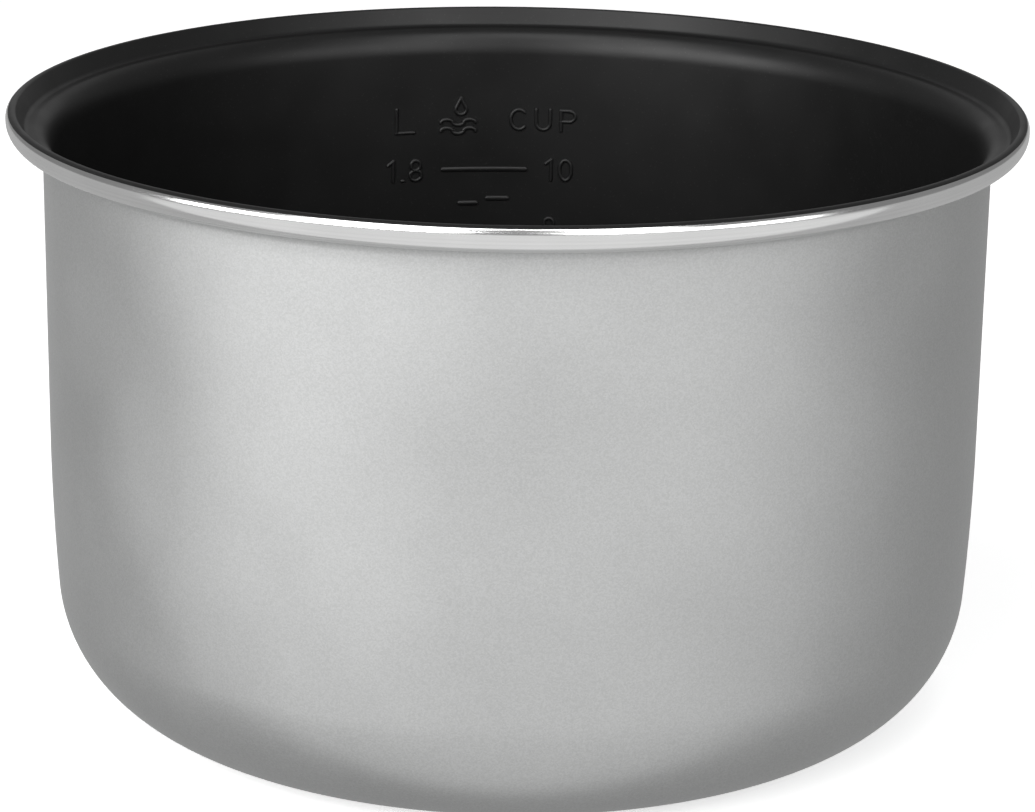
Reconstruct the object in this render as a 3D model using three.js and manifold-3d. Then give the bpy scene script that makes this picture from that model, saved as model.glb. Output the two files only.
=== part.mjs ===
// Inner cooking pot of a 1.8 litre (10 cup) rice cooker, lifted out of its housing.
// Millimetres, +Z up. The origin is on the pot's axis, in the plane that the pot stands on.
import * as THREE from "three";
import { mergeVertices } from "three/addons/utils/BufferGeometryUtils.js";
import Module from "manifold-3d";

const wasm = await Module();
wasm.setup();

// Overall
const potHeight = 152.5;
const rimRadius = 125;
const metalThickness = 1.8;
const coatThickness = 0.2; // of the black lining and of the silver outer coat
const bondGap = 0.05; // between the metal and each coat

// Base: a flat foot ring round a shallow recess
const footRadius = 79.2;
const recessRadius = 50;
const recessDepth = 0.6;
const recessStep = 4;

// Outer side of the wall, from the foot upwards: corner arc, slightly barrelled part, straight taper
const cornerRadius = 34.6;
const barrelRadius = 590;
const barrelTaper = 4.2; // degrees from the vertical where the corner arc ends
const wallTaper = 0.5; // degrees from the vertical above the barrelled part

// Flange: heights are measured down from the crest of the rim
const flangeHeight = 6.6;
const flangeFillet = 3; // under the flange, against the wall
const edgeRound = 4.2; // lower outer edge of the flange
const crestRound = 1.9; // upper outer edge
const liningEdge = 45; // degrees up that round, where the black lining ends
const crestInnerRound = 0.7;
const slopeNormal = 153; // degrees from the outward direction, the way the lip's inner slope faces
const ledgeDepth = 4.7;
const ledgeFillet = 1.6;
const shoulderRadius = 118.3; // where the rolled shoulder meets the ledge
const shoulderDrop = 6.9;

// Raised level lines on the lining: litres on the left, cups on the right, one shared line at the top.
// Every second line of each scale is a long one. Places are millimetres round the wall, towards +X
// from the middle of the back.
const fullLevel = 109.2;
const litreStepHeight = 9.5; // for each 0.2 litre
const litreSteps = 7;
const cupStepHeight = 8.2; // for each cup
const cupSteps = 8;
const litreLongStart = -21.1;
const litreShortStart = -16.4;
const litreEnd = -10.5;
const cupStart = -8.8;
const cupShortEnd = -2;
const cupLongEnd = 2.9;
const markRelief = 0.35;
const markHeight = 1.4;

// Fineness of the solids
const roundSegments = 64;
const cornerSteps = 8;
const barrelSteps = 2;
const edgeSteps = 4;
const roundSteps = 2;
const filletSteps = 2;
const shoulderSteps = 3;

const rad = THREE.MathUtils.degToRad;
const point = (r, z) => new THREE.Vector2(r, z);

// Points on an elliptical arc in the profile plane; angles in degrees from the outward direction.
function ovalArc(centre, radiusR, radiusZ, from, to, steps) {
  const points = [];
  for (let i = 0; i <= steps; i++) {
    const angle = rad(from + ((to - from) * i) / steps);
    points.push(point(centre.x + radiusR * Math.cos(angle), centre.y + radiusZ * Math.sin(angle)));
  }
  return points;
}

const roundArc = (centre, radius, from, to, steps) =>
  ovalArc(centre, radius, radius, from, to, steps);

const coatInset = -bondGap - coatThickness;
const liningInset = metalThickness + bondGap + coatThickness;
const crestRadius = rimRadius - crestRound;
const flangeUnderside = potHeight - flangeHeight;
const filletFoot = flangeUnderside - flangeFillet;
const shoulderFoot = potHeight - ledgeDepth - shoulderDrop;
const cornerCentre = point(footRadius, cornerRadius);
const barrelCentre = point(
  footRadius - (barrelRadius - cornerRadius) * Math.cos(rad(barrelTaper)),
  cornerRadius + (barrelRadius - cornerRadius) * Math.sin(rad(barrelTaper)),
);

// The wall's surfaces are parallel curves, told apart by how far inside the metal's outside they lie.
// Radius of the straight upper wall at a height.
function upperWallRadius(z, inset) {
  const startR = barrelCentre.x + (barrelRadius - inset) * Math.cos(rad(wallTaper));
  const startZ = barrelCentre.y - (barrelRadius - inset) * Math.sin(rad(wallTaper));
  return startR + (z - startZ) * Math.tan(rad(wallTaper));
}

// Wall from the foot up to a height.
function wallSide(inset, topZ) {
  const barrel = roundArc(barrelCentre, barrelRadius - inset, -barrelTaper, -wallTaper, barrelSteps);
  return [
    ...roundArc(cornerCentre, cornerRadius - inset, -90, -barrelTaper, cornerSteps),
    ...barrel.slice(1),
    point(upperWallRadius(topZ, inset), topZ),
  ];
}

// Floor from the axis out to the edge of the recess.
function floorSide(inset) {
  return [
    point(0, recessDepth + inset),
    point(recessRadius - recessStep, recessDepth + inset),
    point(recessRadius, inset),
  ];
}

// Fillet from the wall up to the underside of the flange.
function flangeFilletSide(inset) {
  const centre = point(upperWallRadius(filletFoot, 0) + flangeFillet, filletFoot);
  return roundArc(centre, flangeFillet + inset, 180, 90, filletSteps);
}

// Upper side of the flange, from an angle up the crest's outer round in to the wall, at a depth below
// the lining's surface.
function flangeTopSide(depth, edgeAngle) {
  const crestOuterCentre = point(crestRadius, potHeight - crestRound);
  const crestCentre = point(crestRadius, potHeight - crestInnerRound);
  const ledgeCentreZ = potHeight - ledgeDepth + ledgeFillet;
  const slope = rad(slopeNormal);
  const reach = crestInnerRound + ledgeFillet;
  const slopeLength = (crestCentre.y + reach * Math.sin(slope) - ledgeCentreZ) / -Math.cos(slope);
  const ledgeCentre = point(
    crestCentre.x + reach * Math.cos(slope) - slopeLength * Math.sin(slope),
    ledgeCentreZ,
  );
  const shoulderCentre = point(shoulderRadius, shoulderFoot);
  const shoulderWidth = shoulderRadius - upperWallRadius(shoulderFoot, liningInset);
  return [
    ...roundArc(crestOuterCentre, crestRound - depth, edgeAngle, 90, roundSteps),
    ...roundArc(crestCentre, crestInnerRound - depth, 90, slopeNormal, roundSteps).slice(1),
    ...roundArc(ledgeCentre, ledgeFillet + depth, slopeNormal - 180, -90, roundSteps),
    ...ovalArc(
      shoulderCentre,
      shoulderWidth - depth,
      shoulderDrop - depth,
      90,
      180,
      shoulderSteps,
    ),
  ];
}

// Bright outer face of the flange, from the underside round to the lining's edge.
function flangeEdgeSide() {
  const edgeCentre = point(rimRadius - edgeRound, flangeUnderside + edgeRound);
  const crestCentre = point(crestRadius, potHeight - crestRound);
  return [
    ...roundArc(edgeCentre, edgeRound, -90, 0, edgeSteps),
    ...roundArc(crestCentre, crestRound, 0, liningEdge, roundSteps),
  ];
}

function turned(profile) {
  return new THREE.LatheGeometry(profile, roundSegments).rotateX(Math.PI / 2);
}

// Drawn and turned metal body: the whole pot but its coats.
function potShell() {
  const outside = [
    ...floorSide(0),
    ...wallSide(0, filletFoot).slice(0, -1),
    ...flangeFilletSide(0),
    ...flangeEdgeSide(),
  ];
  const inside = [
    ...flangeTopSide(coatThickness + bondGap, liningEdge),
    ...wallSide(metalThickness, shoulderFoot).slice(0, -1).reverse(),
    ...floorSide(metalThickness).reverse(),
  ];
  return turned([...outside, ...inside]);
}

// Satin coat on the outer wall, up to the underside of the flange. It starts one step round the
// corner from the foot, so that bare metal meets the heating plate.
function outerCoat() {
  const outside = [
    ...wallSide(coatInset, filletFoot).slice(1, -1),
    ...flangeFilletSide(coatInset),
  ];
  const against = [
    ...wallSide(-bondGap, filletFoot).slice(1, -1),
    ...flangeFilletSide(-bondGap),
  ];
  return turned([...outside, ...against.reverse(), outside[0].clone()]);
}

// Black film on the inside, over the flange and round its crest. It ends one bond gap from the metal.
function liningFilm() {
  const edgeAngle = liningEdge + THREE.MathUtils.radToDeg(bondGap / crestRound);
  const backInset = metalThickness + bondGap;
  const surface = [
    ...flangeTopSide(0, edgeAngle),
    ...wallSide(liningInset, shoulderFoot).slice(0, -1).reverse(),
    ...floorSide(liningInset).reverse(),
  ];
  const against = [
    ...floorSide(backInset),
    ...wallSide(backInset, shoulderFoot).slice(0, -1),
    ...flangeTopSide(coatThickness, edgeAngle).reverse(),
  ];
  return turned([...against, ...surface]);
}

function solidOf(geometry) {
  const bare = geometry.clone();
  bare.deleteAttribute("normal");
  bare.deleteAttribute("uv");
  const merged = mergeVertices(bare);
  return new wasm.Manifold(
    new wasm.Mesh({
      numProp: 3,
      vertProperties: merged.attributes.position.array,
      triVerts: new Uint32Array(merged.index.array),
    }),
  );
}

function geometryOf(solid) {
  const mesh = solid.getMesh();
  const geometry = new THREE.BufferGeometry();
  geometry.setAttribute("position", new THREE.BufferAttribute(mesh.vertProperties, 3));
  geometry.setIndex(new THREE.BufferAttribute(mesh.triVerts, 1));
  geometry.computeVertexNormals();
  return geometry;
}

// Radius of the lining's surface on the barrelled part or above it.
function liningRadius(z) {
  const radius = barrelRadius - liningInset;
  const drop = barrelCentre.y - z;
  if (drop < radius * Math.sin(rad(wallTaper))) return upperWallRadius(z, liningInset);
  return barrelCentre.x + Math.sqrt(radius ** 2 - drop ** 2);
}

// One raised line: a ring that stands out of the lining, cut down to the line's length.
function raisedLine(z, from, to) {
  const bedRadius = liningRadius(z) + coatThickness / 4;
  const faceRadius = liningRadius(z) - markRelief;
  const bedHalf = markHeight / 2;
  const faceHalf = bedHalf - markRelief;
  const ring = turned([
    point(bedRadius, z + bedHalf),
    point(faceRadius, z + faceHalf),
    point(faceRadius, z - faceHalf),
    point(bedRadius, z - bedHalf),
    point(bedRadius, z + bedHalf),
  ]);
  const left = faceRadius * Math.sin(from / faceRadius);
  const right = faceRadius * Math.sin(to / faceRadius);
  const window = new THREE.BoxGeometry(right - left, rimRadius, 2 * markHeight);
  window.translate((left + right) / 2, rimRadius, z);
  return solidOf(ring).intersect(solidOf(window));
}

function levelLines() {
  const lines = [raisedLine(fullLevel, litreLongStart, cupLongEnd)];
  for (let i = 1; i <= litreSteps; i++) {
    const start = i % 2 === 0 ? litreLongStart : litreShortStart;
    lines.push(raisedLine(fullLevel - i * litreStepHeight, start, litreEnd));
  }
  for (let i = 1; i <= cupSteps; i++) {
    const end = i % 2 === 0 ? cupLongEnd : cupShortEnd;
    lines.push(raisedLine(fullLevel - i * cupStepHeight, cupStart, end));
  }
  return lines;
}

function nonstickLining() {
  let lining = solidOf(liningFilm());
  for (const line of levelLines()) lining = lining.add(line);
  return geometryOf(lining);
}

function subPart(name, geometry, color, roughness, metalness) {
  const material = new THREE.MeshStandardMaterial({ color, roughness, metalness });
  const mesh = new THREE.Mesh(geometry, material);
  mesh.name = name;
  return mesh;
}

const pot = new THREE.Group();
pot.add(subPart("pot_shell", potShell(), 0xd9dadb, 0.18, 1));
pot.add(subPart("silver_outer_coat", outerCoat(), 0xb4b7b6, 0.45, 0.6));
pot.add(subPart("nonstick_lining", nonstickLining(), 0x1b1b1a, 0.4, 0));

export default pot;
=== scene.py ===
"""Looks of the rice cooker's inner pot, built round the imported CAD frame.

Metres, +Z up, with the pot's axis at x = y = 0. The front is -Y, and the level marks are on the +Y side.
"""

import math

import bpy
from mathutils import Matrix, Vector


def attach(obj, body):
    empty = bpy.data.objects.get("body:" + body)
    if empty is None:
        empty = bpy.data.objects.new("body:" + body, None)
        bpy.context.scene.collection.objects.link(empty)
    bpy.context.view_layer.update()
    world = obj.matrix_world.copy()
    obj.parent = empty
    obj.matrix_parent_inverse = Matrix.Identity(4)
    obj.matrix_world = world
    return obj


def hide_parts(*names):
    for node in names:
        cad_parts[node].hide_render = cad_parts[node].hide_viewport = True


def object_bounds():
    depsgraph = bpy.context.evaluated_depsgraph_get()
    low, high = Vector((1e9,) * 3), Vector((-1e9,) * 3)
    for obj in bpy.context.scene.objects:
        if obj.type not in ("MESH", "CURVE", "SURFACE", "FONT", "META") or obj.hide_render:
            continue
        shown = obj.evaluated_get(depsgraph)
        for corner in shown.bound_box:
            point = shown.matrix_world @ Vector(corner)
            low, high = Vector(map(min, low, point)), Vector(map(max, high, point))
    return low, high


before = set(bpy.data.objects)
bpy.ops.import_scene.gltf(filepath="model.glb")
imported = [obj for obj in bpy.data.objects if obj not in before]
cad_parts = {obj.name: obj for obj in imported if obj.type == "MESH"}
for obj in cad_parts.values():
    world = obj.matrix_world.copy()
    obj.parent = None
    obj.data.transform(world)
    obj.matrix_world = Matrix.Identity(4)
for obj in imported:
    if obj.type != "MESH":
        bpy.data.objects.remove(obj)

MM = 0.001
CAD_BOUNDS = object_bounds()
RIM_RADIUS, _, POT_HEIGHT = CAD_BOUNDS[1]
ROOT = "root"
ON_AXIS = 1e-9

# ---------------------------------------------------------------- the pot's profile, as in the CAD
# Insets are measured inwards from the metal's outside. Angles are from the outward direction, upwards.
METAL_THICKNESS = 1.8 * MM
FILM_THICKNESS = 0.2 * MM
BOND_GAP = 0.05 * MM
FOOT_RADIUS = 79.2 * MM
RECESS_RADIUS = 50 * MM
RECESS_DEPTH = 0.6 * MM
RECESS_STEP = 4 * MM
CORNER_RADIUS = 34.6 * MM
BARREL_RADIUS = 590 * MM
BARREL_TAPER = math.radians(4.2)
WALL_TAPER = math.radians(0.5)
FLANGE_HEIGHT = 6.6 * MM
FLANGE_FILLET = 3 * MM
EDGE_ROUND = 4.2 * MM
CREST_ROUND = 1.9 * MM
LINING_EDGE = math.radians(45)
CREST_INNER_ROUND = 0.7 * MM
SLOPE_NORMAL = math.radians(153)
LEDGE_DEPTH = 4.7 * MM
LEDGE_FILLET = 1.6 * MM
SHOULDER_RADIUS = 118.3 * MM
SHOULDER_DROP = 6.9 * MM
COAT_START = math.radians(-80)

COAT_INSET = -BOND_GAP - FILM_THICKNESS
LINING_INSET = METAL_THICKNESS + BOND_GAP + FILM_THICKNESS
CREST_RADIUS = RIM_RADIUS - CREST_ROUND
FLANGE_UNDERSIDE = POT_HEIGHT - FLANGE_HEIGHT
FILLET_FOOT = FLANGE_UNDERSIDE - FLANGE_FILLET
SHOULDER_FOOT = POT_HEIGHT - LEDGE_DEPTH - SHOULDER_DROP
BARREL_CENTRE = (
    FOOT_RADIUS - (BARREL_RADIUS - CORNER_RADIUS) * math.cos(BARREL_TAPER),
    CORNER_RADIUS + (BARREL_RADIUS - CORNER_RADIUS) * math.sin(BARREL_TAPER),
)

# Fineness of the revolved meshes
ROUND_SEGMENTS = 384
CORNER_STEPS = 40
BARREL_STEPS = 14
WALL_STEPS = 24
EDGE_STEPS = 18
ROUND_STEPS = 8
SHOULDER_STEPS = 20
FLOOR_STEPS = 16
SHARP_ANGLE = math.radians(35)


def oval_arc(centre, radius_r, radius_z, start, end, steps):
    """Points on an elliptical arc in the profile plane, from one angle to another, in radians."""
    points = []
    for i in range(steps + 1):
        angle = start + (end - start) * i / steps
        points.append((centre[0] + radius_r * math.cos(angle), centre[1] + radius_z * math.sin(angle)))
    return points


def round_arc(centre, radius, start, end, steps):
    """Points on a circular arc in the profile plane."""
    return oval_arc(centre, radius, radius, start, end, steps)


def straight(start, end, steps):
    """Points after start, on to end."""
    points = []
    for i in range(1, steps + 1):
        share = i / steps
        points.append((start[0] + (end[0] - start[0]) * share, start[1] + (end[1] - start[1]) * share))
    return points


def upper_wall_radius(z, inset):
    """Radius at a height on the straight upper wall."""
    start_r = BARREL_CENTRE[0] + (BARREL_RADIUS - inset) * math.cos(WALL_TAPER)
    start_z = BARREL_CENTRE[1] - (BARREL_RADIUS - inset) * math.sin(WALL_TAPER)
    return start_r + (z - start_z) * math.tan(WALL_TAPER)


def wall_side(inset, top_z, start=-math.pi / 2):
    """The wall from the foot up, on the surface that lies inset inside the metal's outside."""
    corner_centre = (FOOT_RADIUS, CORNER_RADIUS)
    corner = round_arc(corner_centre, CORNER_RADIUS - inset, start, -BARREL_TAPER, CORNER_STEPS)
    barrel = round_arc(BARREL_CENTRE, BARREL_RADIUS - inset, -BARREL_TAPER, -WALL_TAPER, BARREL_STEPS)
    top = (upper_wall_radius(top_z, inset), top_z)
    return corner + barrel[1:] + straight(barrel[-1], top, WALL_STEPS)


def floor_side(inset):
    """The floor from the axis out to just short of the corner, with an eased step at the recess."""
    points = [(0.0, RECESS_DEPTH + inset)]
    points += straight(points[-1], (RECESS_RADIUS - RECESS_STEP, RECESS_DEPTH + inset), FLOOR_STEPS)
    for i in range(1, ROUND_STEPS + 1):
        share = i / ROUND_STEPS
        ease = 0.5 + 0.5 * math.cos(math.pi * share)
        points.append((RECESS_RADIUS - RECESS_STEP * (1 - share), RECESS_DEPTH * ease + inset))
    return points + straight(points[-1], (FOOT_RADIUS, inset), FLOOR_STEPS)[:-1]


def flange_fillet_side(inset):
    """The fillet between the wall and the flange's underside."""
    centre = (upper_wall_radius(FILLET_FOOT, 0) + FLANGE_FILLET, FILLET_FOOT)
    return round_arc(centre, FLANGE_FILLET + inset, math.pi, math.pi / 2, ROUND_STEPS)


def flange_top_side(depth, edge_angle):
    """The flange's upper side, at a depth below the lining's surface.

    It runs from an angle on the crest's outer round, over the lip, the ledge and the shoulder, to the wall.
    """
    crest_outer = (CREST_RADIUS, POT_HEIGHT - CREST_ROUND)
    crest = (CREST_RADIUS, POT_HEIGHT - CREST_INNER_ROUND)
    ledge_z = POT_HEIGHT - LEDGE_DEPTH + LEDGE_FILLET
    reach = CREST_INNER_ROUND + LEDGE_FILLET
    slope_length = (crest[1] + reach * math.sin(SLOPE_NORMAL) - ledge_z) / -math.cos(SLOPE_NORMAL)
    ledge = (crest[0] + reach * math.cos(SLOPE_NORMAL) - slope_length * math.sin(SLOPE_NORMAL), ledge_z)
    shoulder = (SHOULDER_RADIUS, SHOULDER_FOOT)
    shoulder_width = SHOULDER_RADIUS - upper_wall_radius(SHOULDER_FOOT, LINING_INSET)
    points = round_arc(crest_outer, CREST_ROUND - depth, edge_angle, math.pi / 2, ROUND_STEPS)
    points += round_arc(crest, CREST_INNER_ROUND - depth, math.pi / 2, SLOPE_NORMAL, ROUND_STEPS)[1:]
    points += round_arc(ledge, LEDGE_FILLET + depth, SLOPE_NORMAL - math.pi, -math.pi / 2, ROUND_STEPS)
    points += oval_arc(
        shoulder, shoulder_width - depth, SHOULDER_DROP - depth, math.pi / 2, math.pi, SHOULDER_STEPS
    )
    return points


def flange_edge_side():
    """Bright outer face of the flange, from the underside round to the lining's edge."""
    edge = (RIM_RADIUS - EDGE_ROUND, FLANGE_UNDERSIDE + EDGE_ROUND)
    crest = (CREST_RADIUS, POT_HEIGHT - CREST_ROUND)
    return (
        round_arc(edge, EDGE_ROUND, -math.pi / 2, 0, EDGE_STEPS)
        + round_arc(crest, CREST_ROUND, 0, LINING_EDGE, ROUND_STEPS)
    )


def turned_rings(rows):
    """The vertices of each profile point turned round the axis, and each ring's indices."""
    vertices, rings = [], []
    for r, z in rows:
        ring_start = len(vertices)
        if r < ON_AXIS:
            vertices.append((0.0, 0.0, z))
            rings.append([ring_start] * ROUND_SEGMENTS)
            continue
        for i in range(ROUND_SEGMENTS):
            turn = 2 * math.pi * i / ROUND_SEGMENTS
            vertices.append((r * math.cos(turn), r * math.sin(turn), z))
        rings.append(list(range(ring_start, ring_start + ROUND_SEGMENTS)))
    return vertices, rings


def band(low, high):
    """The faces between two rings, which are triangles where a ring is a point on the axis."""
    faces = []
    for i in range(ROUND_SEGMENTS):
        j = (i + 1) % ROUND_SEGMENTS
        corners = [low[i], low[j], high[j], high[i]]
        faces.append([v for k, v in enumerate(corners) if v not in corners[:k]])
    return faces


def new_object(name, vertices, faces):
    mesh = bpy.data.meshes.new(name)
    mesh.from_pydata(vertices, [], faces)
    mesh.validate()
    made = bpy.data.objects.new(name, mesh)
    bpy.context.scene.collection.objects.link(made)
    return made


def revolve(name, profile):
    """A closed body turned from a profile that starts and ends on the axis or closes on itself."""
    on_axis = profile[0][0] < ON_AXIS
    vertices, rings = turned_rings(profile if on_axis else profile[:-1])
    pairs = list(zip(rings, rings[1:]))
    if not on_axis:
        pairs.append((rings[-1], rings[0]))
    faces = [face for low, high in pairs for face in band(low, high)]
    piece = new_object(name, vertices, faces)
    piece.data.shade_smooth()
    piece.data.set_sharp_from_angle(angle=SHARP_ANGLE)
    return piece


def pot_metal():
    outside = floor_side(0) + wall_side(0, FILLET_FOOT)[:-1] + flange_fillet_side(0) + flange_edge_side()
    inside = (
        flange_top_side(FILM_THICKNESS + BOND_GAP, LINING_EDGE)
        + wall_side(METAL_THICKNESS, SHOULDER_FOOT)[:-1][::-1]
        + floor_side(METAL_THICKNESS)[::-1]
    )
    return revolve("pot_metal", outside + inside)


def silver_coat():
    outside = wall_side(COAT_INSET, FILLET_FOOT, COAT_START)[:-1] + flange_fillet_side(COAT_INSET)
    against = wall_side(-BOND_GAP, FILLET_FOOT, COAT_START)[:-1] + flange_fillet_side(-BOND_GAP)
    return revolve("silver_coat", outside + against[::-1] + outside[:1])


def black_lining():
    edge_angle = LINING_EDGE + BOND_GAP / CREST_ROUND
    back_inset = METAL_THICKNESS + BOND_GAP
    surface = (
        flange_top_side(0, edge_angle)
        + wall_side(LINING_INSET, SHOULDER_FOOT)[:-1][::-1]
        + floor_side(LINING_INSET)[::-1]
    )
    against = (
        floor_side(back_inset)
        + wall_side(back_inset, SHOULDER_FOOT)[:-1]
        + flange_top_side(FILM_THICKNESS, edge_angle)[::-1]
    )
    return revolve("black_lining", against + surface)


# ---------------------------------------------------------------- raised level marks on the back wall
# Places are arc lengths round the wall, towards +X from the middle of the back, and heights.
MARK_RELIEF = 0.45 * MM
LINE_WIDTH = 1.6 * MM
SIGN_WIDTH = 1.2 * MM
# Each stroke of a sign is this share wider than the one before, so that no two ends coincide.
STROKE_STEP = 0.01
RIDGE_SINK = 0.05 * MM
RIDGE_STEP = 0.35 * MM
RIDGE_SIDES = 10
RIDGE_END_STEPS = 4
RIDGE_FLATNESS = 2.5
LEAST_LINE_STEPS = 2
LEAST_ARC_STEPS = 6
FULL_LEVEL = 109.2 * MM
LITRE_STEP_HEIGHT = 9.5 * MM
LITRE_STEPS = 7
CUP_STEP_HEIGHT = 8.2 * MM
CUP_STEPS = 8
LITRE_LONG_START = -21.1 * MM
LITRE_SHORT_START = -16.4 * MM
LITRE_END = -10.5 * MM
CUP_START = -8.8 * MM
CUP_SHORT_END = -2 * MM
CUP_LONG_END = 2.9 * MM
NUMERAL_HEIGHT = 5.8 * MM
LITRE_NUMERAL_START = -36.4 * MM
CUP_NUMERAL_START = 7.2 * MM
LITRE_NUMERALS = ("1.8", "1.4", "1.0", "0.6")
CUP_NUMERALS = ("10", "8", "6", "4", "2")
# Distances from one sign to the next, as shares of the height
SIGN_PITCH = 0.75
POINT_PITCH = 0.4
HEADING_PITCH = 1.18
LITRE_HEADING = {"sign": "L", "start": -33.8 * MM, "foot": 119.6 * MM, "height": 6.8 * MM}
CUP_HEADING = {"sign": "CUP", "start": -2.1 * MM, "foot": 120.2 * MM, "height": 5.8 * MM}
WATER_SIGN = {"sign": "water", "start": -21.4 * MM, "foot": 119.4 * MM, "height": 9.8 * MM}

# The strokes of each sign, in a cell one high. A line has two ends. An arc has a centre, two radii
# and two angles in degrees.
STROKES = {
    "0": [("arc", (0.3, 0.5), (0.28, 0.48), 90, 450)],
    "1": [("line", (0.12, 0.8), (0.36, 0.98)), ("line", (0.36, 0.98), (0.36, 0.02))],
    "2": [("arc", (0.3, 0.7), (0.27, 0.28), 165, -40), ("line", (0.5, 0.51), (0.04, 0.02)),
          ("line", (0.04, 0.02), (0.58, 0.02))],
    "4": [("line", (0.44, 0.02), (0.44, 0.98)), ("line", (0.44, 0.98), (0.02, 0.3)),
          ("line", (0.02, 0.3), (0.6, 0.3))],
    "6": [("arc", (0.3, 0.3), (0.27, 0.28), 0, 360), ("arc", (0.6, 0.3), (0.57, 0.68), 180, 110)],
    "8": [("arc", (0.3, 0.74), (0.22, 0.24), 0, 360), ("arc", (0.3, 0.26), (0.27, 0.24), 0, 360)],
    ".": [("line", (0.05, 0.02), (0.1, 0.02))],
    "L": [("line", (0.06, 0.98), (0.06, 0.03)), ("line", (0.06, 0.03), (0.76, 0.03))],
    "C": [("arc", (0.42, 0.5), (0.38, 0.47), 50, 310)],
    "U": [("line", (0.06, 0.98), (0.06, 0.36)), ("arc", (0.39, 0.36), (0.33, 0.33), 180, 360),
          ("line", (0.72, 0.36), (0.72, 0.98))],
    "P": [("line", (0.06, 0.02), (0.06, 0.96)), ("line", (0.06, 0.96), (0.42, 0.96)),
          ("arc", (0.42, 0.7), (0.3, 0.26), 90, -90), ("line", (0.42, 0.44), (0.06, 0.44))],
    "water": [("arc", (0.6, 0.66), (0.15, 0.14), 160, 380), ("line", (0.459, 0.708), (0.6, 0.98)),
              ("line", (0.6, 0.98), (0.741, 0.708)),
              ("arc", (0.2, 0.3), (0.16, 0.08), 180, 0), ("arc", (0.52, 0.3), (0.16, 0.08), 180, 360),
              ("arc", (0.84, 0.3), (0.16, 0.08), 180, 0), ("arc", (0.2, 0.06), (0.16, 0.08), 180, 0),
              ("arc", (0.52, 0.06), (0.16, 0.08), 180, 360), ("arc", (0.84, 0.06), (0.16, 0.08), 180, 0)],
}


def lining_radius(z):
    """Radius of the lining's surface on the barrelled part of the wall or above it."""
    radius = BARREL_RADIUS - LINING_INSET
    drop = BARREL_CENTRE[1] - z
    if drop < radius * math.sin(WALL_TAPER):
        return upper_wall_radius(z, LINING_INSET)
    return BARREL_CENTRE[0] + math.sqrt(radius ** 2 - drop ** 2)


def on_wall(place, height):
    """The point of a place on the wall, raised off the lining towards the axis."""
    surface = lining_radius(place.y)
    turn = place.x / surface
    r = surface - height
    return (r * math.sin(turn), r * math.cos(turn), place.y)


def ridge_section(place, along, half_width, relief):
    """One cross-section of a ridge, domed over the wall and closed just inside it."""
    across = Vector((-along.y, along.x))
    points = []
    for i in range(RIDGE_SIDES + 1):
        side = 2 * i / RIDGE_SIDES - 1
        height = relief * (1 - abs(side) ** RIDGE_FLATNESS) - RIDGE_SINK
        points.append(on_wall(place + across * (half_width * side), height))
    return points


def ridge_plan(last, half):
    """Each cross-section's path point, its shift along the path and its share of the full width."""
    angles = [math.pi / 2 * end / (RIDGE_END_STEPS + 0.5) for end in range(1, RIDGE_END_STEPS + 1)]
    start_cap = [(0, -half * math.sin(angle), math.cos(angle)) for angle in reversed(angles)]
    end_cap = [(last, half * math.sin(angle), math.cos(angle)) for angle in angles]
    return start_cap + [(i, 0.0, 1.0) for i in range(last + 1)] + end_cap


def add_ridge(vertices, faces, path, width):
    """A closed raised ridge with rounded ends along a path of places on the wall."""
    half = width / 2
    sections = ridge_plan(len(path) - 1, half)
    first = len(vertices)
    for i, shift, share in sections:
        before, after = path[max(i - 1, 0)], path[min(i + 1, len(path) - 1)]
        along = (after - before).normalized()
        place = path[i] + along * shift
        vertices.extend(ridge_section(place, along, half * share, MARK_RELIEF * math.sqrt(share)))
    count = RIDGE_SIDES + 1
    for row in range(len(sections) - 1):
        low = first + row * count
        for i in range(count):
            j = (i + 1) % count
            faces.append([low + i, low + count + i, low + count + j, low + j])
    faces.append([first + i for i in range(count)])
    last = first + (len(sections) - 1) * count
    faces.append([last + i for i in reversed(range(count))])


def stroke_path(stroke, corner, height):
    """The places along one stroke of a sign whose cell starts at corner."""
    kind, first, second, *angles = stroke
    if kind == "line":
        start, end = Vector(first) * height, Vector(second) * height
        steps = max(LEAST_LINE_STEPS, round((end - start).length / RIDGE_STEP))
        return [corner + start.lerp(end, i / steps) for i in range(steps + 1)]
    centre = Vector(first) * height
    start, end = (math.radians(a) for a in angles)
    length = abs(end - start) * max(second) * height
    steps = max(LEAST_ARC_STEPS, round(length / RIDGE_STEP))
    places = []
    for i in range(steps + 1):
        angle = start + (end - start) * i / steps
        reach = Vector((second[0] * math.cos(angle), second[1] * math.sin(angle))) * height
        places.append(corner + centre + reach)
    return places


def add_sign(vertices, faces, name, start, foot, height):
    for i, stroke in enumerate(STROKES[name]):
        path = stroke_path(stroke, Vector((start, foot)), height)
        add_ridge(vertices, faces, path, SIGN_WIDTH * (1 + STROKE_STEP * i))


def add_text(vertices, faces, text, start, foot, height, pitch=SIGN_PITCH):
    """A row of signs that stands on foot, from start towards +X."""
    for sign in text:
        add_sign(vertices, faces, sign, start, foot, height)
        start += height * (POINT_PITCH if sign == "." else pitch)


def add_line(vertices, faces, z, start, end):
    """A level line from start to end, its rounded ends included."""
    inset = LINE_WIDTH / 2
    steps = round((end - start) / RIDGE_STEP)
    low, high = Vector((start + inset, z)), Vector((end - inset, z))
    add_ridge(vertices, faces, [low.lerp(high, i / steps) for i in range(steps + 1)], LINE_WIDTH)


def marks_piece(name, vertices, faces):
    piece = new_object(name, vertices, faces)
    piece.data.shade_smooth()
    return piece


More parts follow.
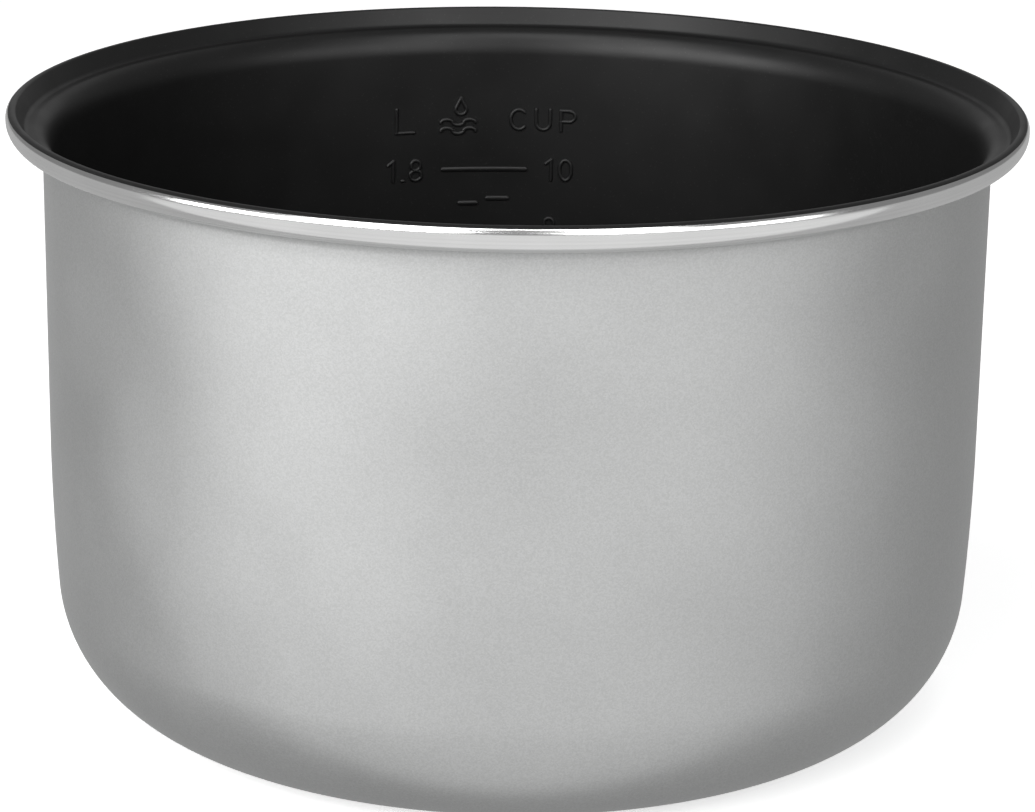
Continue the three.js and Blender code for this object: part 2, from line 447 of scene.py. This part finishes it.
def litre_marks():
    vertices, faces = [], []
    add_line(vertices, faces, FULL_LEVEL, LITRE_LONG_START, CUP_LONG_END)
    for i in range(1, LITRE_STEPS + 1):
        start = LITRE_LONG_START if i % 2 == 0 else LITRE_SHORT_START
        add_line(vertices, faces, FULL_LEVEL - i * LITRE_STEP_HEIGHT, start, LITRE_END)
    for i, text in enumerate(LITRE_NUMERALS):
        foot = FULL_LEVEL - 2 * i * LITRE_STEP_HEIGHT - NUMERAL_HEIGHT / 2
        add_text(vertices, faces, text, LITRE_NUMERAL_START, foot, NUMERAL_HEIGHT)
    heading = LITRE_HEADING
    add_text(vertices, faces, heading["sign"], heading["start"], heading["foot"], heading["height"])
    return marks_piece("litre_marks", vertices, faces)


def cup_marks():
    vertices, faces = [], []
    for i in range(1, CUP_STEPS + 1):
        end = CUP_LONG_END if i % 2 == 0 else CUP_SHORT_END
        add_line(vertices, faces, FULL_LEVEL - i * CUP_STEP_HEIGHT, CUP_START, end)
    for i, text in enumerate(CUP_NUMERALS):
        foot = FULL_LEVEL - 2 * i * CUP_STEP_HEIGHT - NUMERAL_HEIGHT / 2
        add_text(vertices, faces, text, CUP_NUMERAL_START, foot, NUMERAL_HEIGHT)
    heading = CUP_HEADING
    add_text(
        vertices, faces, heading["sign"], heading["start"], heading["foot"], heading["height"], HEADING_PITCH
    )
    return marks_piece("cup_marks", vertices, faces)


def water_mark():
    vertices, faces = [], []
    heading = WATER_SIGN
    add_sign(vertices, faces, heading["sign"], heading["start"], heading["foot"], heading["height"])
    return marks_piece("water_mark", vertices, faces)


# ---------------------------------------------------------------- materials
# Tones are the darkest and lightest base colours. Scales are in features per metre.
CLOUD_RANGE = (0.3, 0.7)
BARE_TONES = ((0.66, 0.66, 0.66), (1.0, 1.0, 0.995))
BARE_ROUGHNESS = (0.13, 0.20)
RING_SCALE = 700
RING_DEPTH = 0.02 * MM
RING_SHARE = 0.7
HANDLING_SCALE = 45
COAT_TONES = ((0.451, 0.455, 0.453), (0.571, 0.576, 0.574))
COAT_ROUGHNESS = (0.46, 0.54)
FLAKE_SCALE = 3200
FLAKE_SHARE = 0.6
COAT_CLOUD_SCALE = 22
PEEL_SCALE = 900
PEEL_DEPTH = 0.02 * MM
LINING_TONES = ((0.006, 0.006, 0.006), (0.016, 0.016, 0.016))
LINING_ROUGHNESS = (0.36, 0.44)
LINING_IOR = 1.36
FLECK_SCALE = 700
FLECK_RANGE = (0.08, 0.16)
LINING_CLOUD_SCALE = 60
PEBBLE_SCALE = 1600
PEBBLE_DEPTH = 0.02 * MM
FLOOR_TONES = ((0.86, 0.86, 0.86), (0.88, 0.88, 0.88))
FLOOR_ROUGHNESS = 0.9
FLOOR_IOR = 1.3
FLOOR_CLOUD_SCALE = 3
FLOOR_GLOW = 0.52


def new_material(name, metallic, ior):
    material = bpy.data.materials.new(name)
    material.use_nodes = True
    shader = material.node_tree.nodes["Principled BSDF"]
    shader.inputs["Metallic"].default_value = metallic
    shader.inputs["IOR"].default_value = ior
    return material, material.node_tree, shader


def link(tree, source, target):
    tree.links.new(source, target)


def node(tree, kind, **settings):
    made = tree.nodes.new(kind)
    for key, value in settings.items():
        setattr(made, key, value)
    return made


def place_node(tree):
    return node(tree, "ShaderNodeTexCoord").outputs["Object"]


def maths(tree, operation, first, second=None):
    """A maths node's result. Each input is a number or another node's output."""
    made = node(tree, "ShaderNodeMath", operation=operation)
    for socket, value in zip(made.inputs, (first, second)):
        if value is None:
            continue
        if isinstance(value, (int, float)):
            socket.default_value = value
        else:
            link(tree, value, socket)
    return made.outputs[0]


def noise(tree, vector, scale, detail, roughness=0.5):
    made = node(tree, "ShaderNodeTexNoise")
    made.inputs["Scale"].default_value = scale
    made.inputs["Detail"].default_value = detail
    made.inputs["Roughness"].default_value = roughness
    link(tree, vector, made.inputs["Vector"])
    return made.outputs["Fac"]


def mixed(tree, first, second, share):
    """Two values added together, share of the first and the rest of the second."""
    parts = (maths(tree, "MULTIPLY", first, share), maths(tree, "MULTIPLY", second, 1 - share))
    return maths(tree, "ADD", *parts)


def cells(tree, vector, scale):
    made = node(tree, "ShaderNodeTexVoronoi")
    made.inputs["Scale"].default_value = scale
    link(tree, vector, made.inputs["Vector"])
    return made


def remap(tree, value, given, wanted):
    """The value with its given range stretched to the wanted one, and held at its ends."""
    made = node(tree, "ShaderNodeMapRange")
    made.inputs["From Min"].default_value, made.inputs["From Max"].default_value = given
    made.inputs["To Min"].default_value, made.inputs["To Max"].default_value = wanted
    link(tree, value, made.inputs["Value"])
    return made.outputs["Result"]


def colour(tree, shader, value, tones):
    """Base colour that runs from the first tone to the second with the value."""
    made = node(tree, "ShaderNodeMix", data_type="RGBA")
    made.inputs["A"].default_value = (*tones[0], 1)
    made.inputs["B"].default_value = (*tones[1], 1)
    link(tree, value, made.inputs["Factor"])
    link(tree, made.outputs["Result"], shader.inputs["Base Color"])


def gloss(tree, shader, cloud, roughness):
    """Roughness that drifts between two values with a cloudy noise."""
    link(tree, remap(tree, cloud, CLOUD_RANGE, roughness), shader.inputs["Roughness"])


def bump(tree, shader, height, distance, strength):
    made = node(tree, "ShaderNodeBump")
    made.inputs["Strength"].default_value = strength
    made.inputs["Distance"].default_value = distance
    link(tree, height, made.inputs["Height"])
    link(tree, made.outputs["Normal"], shader.inputs["Normal"])


def turned_place(tree):
    """A coordinate that only changes across the lathe's cutting lines: radius and height."""
    split = node(tree, "ShaderNodeSeparateXYZ")
    link(tree, place_node(tree), split.inputs[0])
    squares = [maths(tree, "POWER", split.outputs[i], 2.0) for i in (0, 1)]
    radius = maths(tree, "SQRT", maths(tree, "ADD", *squares))
    joined = node(tree, "ShaderNodeCombineXYZ")
    link(tree, radius, joined.inputs[0])
    link(tree, split.outputs[2], joined.inputs[1])
    return joined.outputs[0]


def bright_metal():
    """Turned and polished aluminium: fine cutting rings, and a faint cloudiness from handling."""
    material, tree, shader = new_material("turned_aluminium", 1.0, 1.45)
    rings = noise(tree, turned_place(tree), RING_SCALE, 5.0, 0.75)
    cloud = noise(tree, place_node(tree), HANDLING_SCALE, 4.0)
    colour(tree, shader, mixed(tree, rings, cloud, RING_SHARE), BARE_TONES)
    gloss(tree, shader, cloud, BARE_ROUGHNESS)
    bump(tree, shader, rings, RING_DEPTH, 0.7)
    return material


def satin_coat():
    """Silver coat: fine metallic flake, a slight orange-peel surface and a soft sheen."""
    material, tree, shader = new_material("satin_silver_coat", 1.0, 1.5)
    place = place_node(tree)
    grain = node(tree, "ShaderNodeSeparateColor")
    link(tree, cells(tree, place, FLAKE_SCALE).outputs["Color"], grain.inputs[0])
    cloud = noise(tree, place, COAT_CLOUD_SCALE, 3.0)
    colour(tree, shader, mixed(tree, grain.outputs[0], cloud, FLAKE_SHARE), COAT_TONES)
    gloss(tree, shader, cloud, COAT_ROUGHNESS)
    bump(tree, shader, noise(tree, place, PEEL_SCALE, 2.0), PEEL_DEPTH, 0.5)
    return material


def nonstick():
    """Black fluoropolymer film: satin, with a fine pebble and a few barely lighter flecks."""
    material, tree, shader = new_material("black_nonstick", 0.0, LINING_IOR)
    place = place_node(tree)
    flecks = cells(tree, place, FLECK_SCALE).outputs["Distance"]
    colour(tree, shader, remap(tree, flecks, FLECK_RANGE, (1.0, 0.0)), LINING_TONES)
    gloss(tree, shader, noise(tree, place, LINING_CLOUD_SCALE, 3.0), LINING_ROUGHNESS)
    bump(tree, shader, noise(tree, place, PEBBLE_SCALE, 2.0), PEBBLE_DEPTH, 0.6)
    return material


def pale_surface():
    """Nearly white floor that glows a little, so that it stays white under soft light."""
    material, tree, shader = new_material("pale_floor", 0.0, FLOOR_IOR)
    colour(tree, shader, noise(tree, place_node(tree), FLOOR_CLOUD_SCALE, 2.0), FLOOR_TONES)
    shader.inputs["Roughness"].default_value = FLOOR_ROUGHNESS
    shader.inputs["Emission Color"].default_value = (1, 1, 1, 1)
    shader.inputs["Emission Strength"].default_value = FLOOR_GLOW
    return material


# ---------------------------------------------------------------- camera, light and floor
CAMERA_DISTANCE = 1055.2 * MM
CAMERA_ELEVATION = math.radians(16.5)
CAMERA_ROLL = math.radians(0.816)
CAMERA_TARGET = Vector((0.95 * MM, 0.0, 75.1 * MM))
CAMERA_LENS = 146.4
CAMERA_SENSOR = 36
CAMERA_CLIP = (0.05, 30)
FLOOR_HALF = 12.0
FLOOR_GAP = 0.2 * MM
TABLE_GLOW = 0.44
ROOM_GLOW = 0.22
HORIZON_BLUR = 0.02
SOFTBOX_DISTANCE = 1.4
# Azimuths and elevations in degrees as seen from the pot, and radiance. Azimuth 0 is the front, 90 the right.
SOFTBOXES = {
    "left_softbox": ((-75, -14), (5, 36), 5.5),
    "right_softbox": ((11, 65), (4, 35), 2.7),
    "upper_left_softbox": ((-50, -21), (34, 76), 3.6),
    "upper_right_softbox": ((19, 37), (34, 76), 3.5),
    "rear_softbox": ((160, 200), (5, 35), 0.2),
}
REFLECTOR_WIDTH = 1.6
REFLECTOR_DEPTH = 1.2
REFLECTOR_GAP = 0.108
REFLECTOR_HEIGHT = 0.003
REFLECTOR_RADIANCE = 0.335


def make_camera():
    """A camera in front of the pot that looks a little down at it, with a slight roll."""
    data = bpy.data.cameras.new("camera")
    data.lens = CAMERA_LENS
    data.sensor_width = CAMERA_SENSOR
    data.clip_start, data.clip_end = CAMERA_CLIP
    camera = bpy.data.objects.new("camera", data)
    place = Vector((
        0.0,
        -CAMERA_DISTANCE * math.cos(CAMERA_ELEVATION),
        CAMERA_TARGET.z + CAMERA_DISTANCE * math.sin(CAMERA_ELEVATION),
    ))
    ahead = (CAMERA_TARGET - place).normalized()
    level = ahead.cross(Vector((0, 0, 1))).normalized()
    upright = level.cross(ahead)
    right = level * math.cos(CAMERA_ROLL) + upright * math.sin(CAMERA_ROLL)
    up = upright * math.cos(CAMERA_ROLL) - level * math.sin(CAMERA_ROLL)
    turn = Matrix((right, up, -ahead)).transposed()
    camera.matrix_world = Matrix.Translation(place) @ turn.to_4x4()
    bpy.context.scene.collection.objects.link(camera)
    bpy.context.scene.camera = camera


def soft_light(name, width, height, radiance):
    """A rectangular area light of an even radiance."""
    data = bpy.data.lights.new(name, "AREA")
    data.shape = "RECTANGLE"
    data.size = width
    data.size_y = height
    data.energy = radiance * math.pi * width * height
    light = bpy.data.objects.new(name, data)
    light.rotation_mode = "QUATERNION"
    bpy.context.scene.collection.objects.link(light)
    return light


def softbox(name, azimuths, elevations, radiance):
    """A flat light that faces the pot and spans these angles seen from it."""
    half_width, half_height = ((high - low) / 2 for low, high in (azimuths, elevations))
    width = 2 * SOFTBOX_DISTANCE * math.tan(math.radians(half_width))
    height = 2 * SOFTBOX_DISTANCE * math.tan(math.radians(half_height))
    light = soft_light(name, width, height, radiance)
    azimuth, elevation = (math.radians(sum(angles) / 2) for angles in (azimuths, elevations))
    level = math.cos(elevation)
    away = Vector((math.sin(azimuth) * level, -math.cos(azimuth) * level, math.sin(elevation)))
    light.location = Vector((0, 0, POT_HEIGHT / 2)) + away * SOFTBOX_DISTANCE
    light.rotation_quaternion = away.to_track_quat("Z", "Y")


def make_world():
    """A dim room over a paler table, which the camera itself sees as a white backdrop."""
    world = bpy.data.worlds.new("studio")
    bpy.context.scene.world = world
    world.use_nodes = True
    tree = world.node_tree
    background = tree.nodes["Background"]
    background.inputs["Color"].default_value = (1, 1, 1, 1)
    direction = node(tree, "ShaderNodeSeparateXYZ")
    link(tree, node(tree, "ShaderNodeTexCoord").outputs["Generated"], direction.inputs[0])
    glow = remap(tree, direction.outputs[2], (-HORIZON_BLUR, HORIZON_BLUR), (TABLE_GLOW, ROOM_GLOW))
    backdrop = node(tree, "ShaderNodeLightPath").outputs["Is Camera Ray"]
    link(tree, maths(tree, "MAXIMUM", glow, backdrop), background.inputs["Strength"])


def make_lights():
    """Soft lights round the pot, and a reflector card on the table before it."""
    for name, (azimuths, elevations, radiance) in SOFTBOXES.items():
        softbox(name, azimuths, elevations, radiance)
    reflector = soft_light("table_reflector", REFLECTOR_WIDTH, REFLECTOR_DEPTH, REFLECTOR_RADIANCE)
    reflector.location = (0, -REFLECTOR_GAP - REFLECTOR_DEPTH / 2, REFLECTOR_HEIGHT)
    reflector.rotation_quaternion = (0, 1, 0, 0)


def make_floor():
    """A plain floor just under the foot, which glossy surfaces don't reflect."""
    half = FLOOR_HALF
    z = -FLOOR_GAP
    corners = [(-half, -half, z), (half, -half, z), (half, half, z), (-half, half, z)]
    floor = new_object("floor", corners, [(0, 1, 2, 3)])
    floor.data.materials.append(pale_surface())
    floor.visible_glossy = False


def dress(piece, material, slot, *nodes):
    """Gives a piece its material, its body and the CAD nodes that it stands for. The slot is not used."""
    piece.data.materials.append(material)
    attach(piece, ROOT)
    if nodes:
        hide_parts(*nodes)


make_camera()
make_world()
make_lights()
make_floor()
bpy.context.scene.view_settings.view_transform = "Standard"
black = nonstick()
dress(pot_metal(), bright_metal(), "bare_metal", "pot_shell")
dress(silver_coat(), satin_coat(), "satin_silver", "silver_outer_coat")
dress(black_lining(), black, "nonstick_black", "nonstick_lining")
dress(litre_marks(), black, "nonstick_black")
dress(cup_marks(), black, "nonstick_black")
dress(water_mark(), black, "nonstick_black")

bpy.context.view_layer.update()
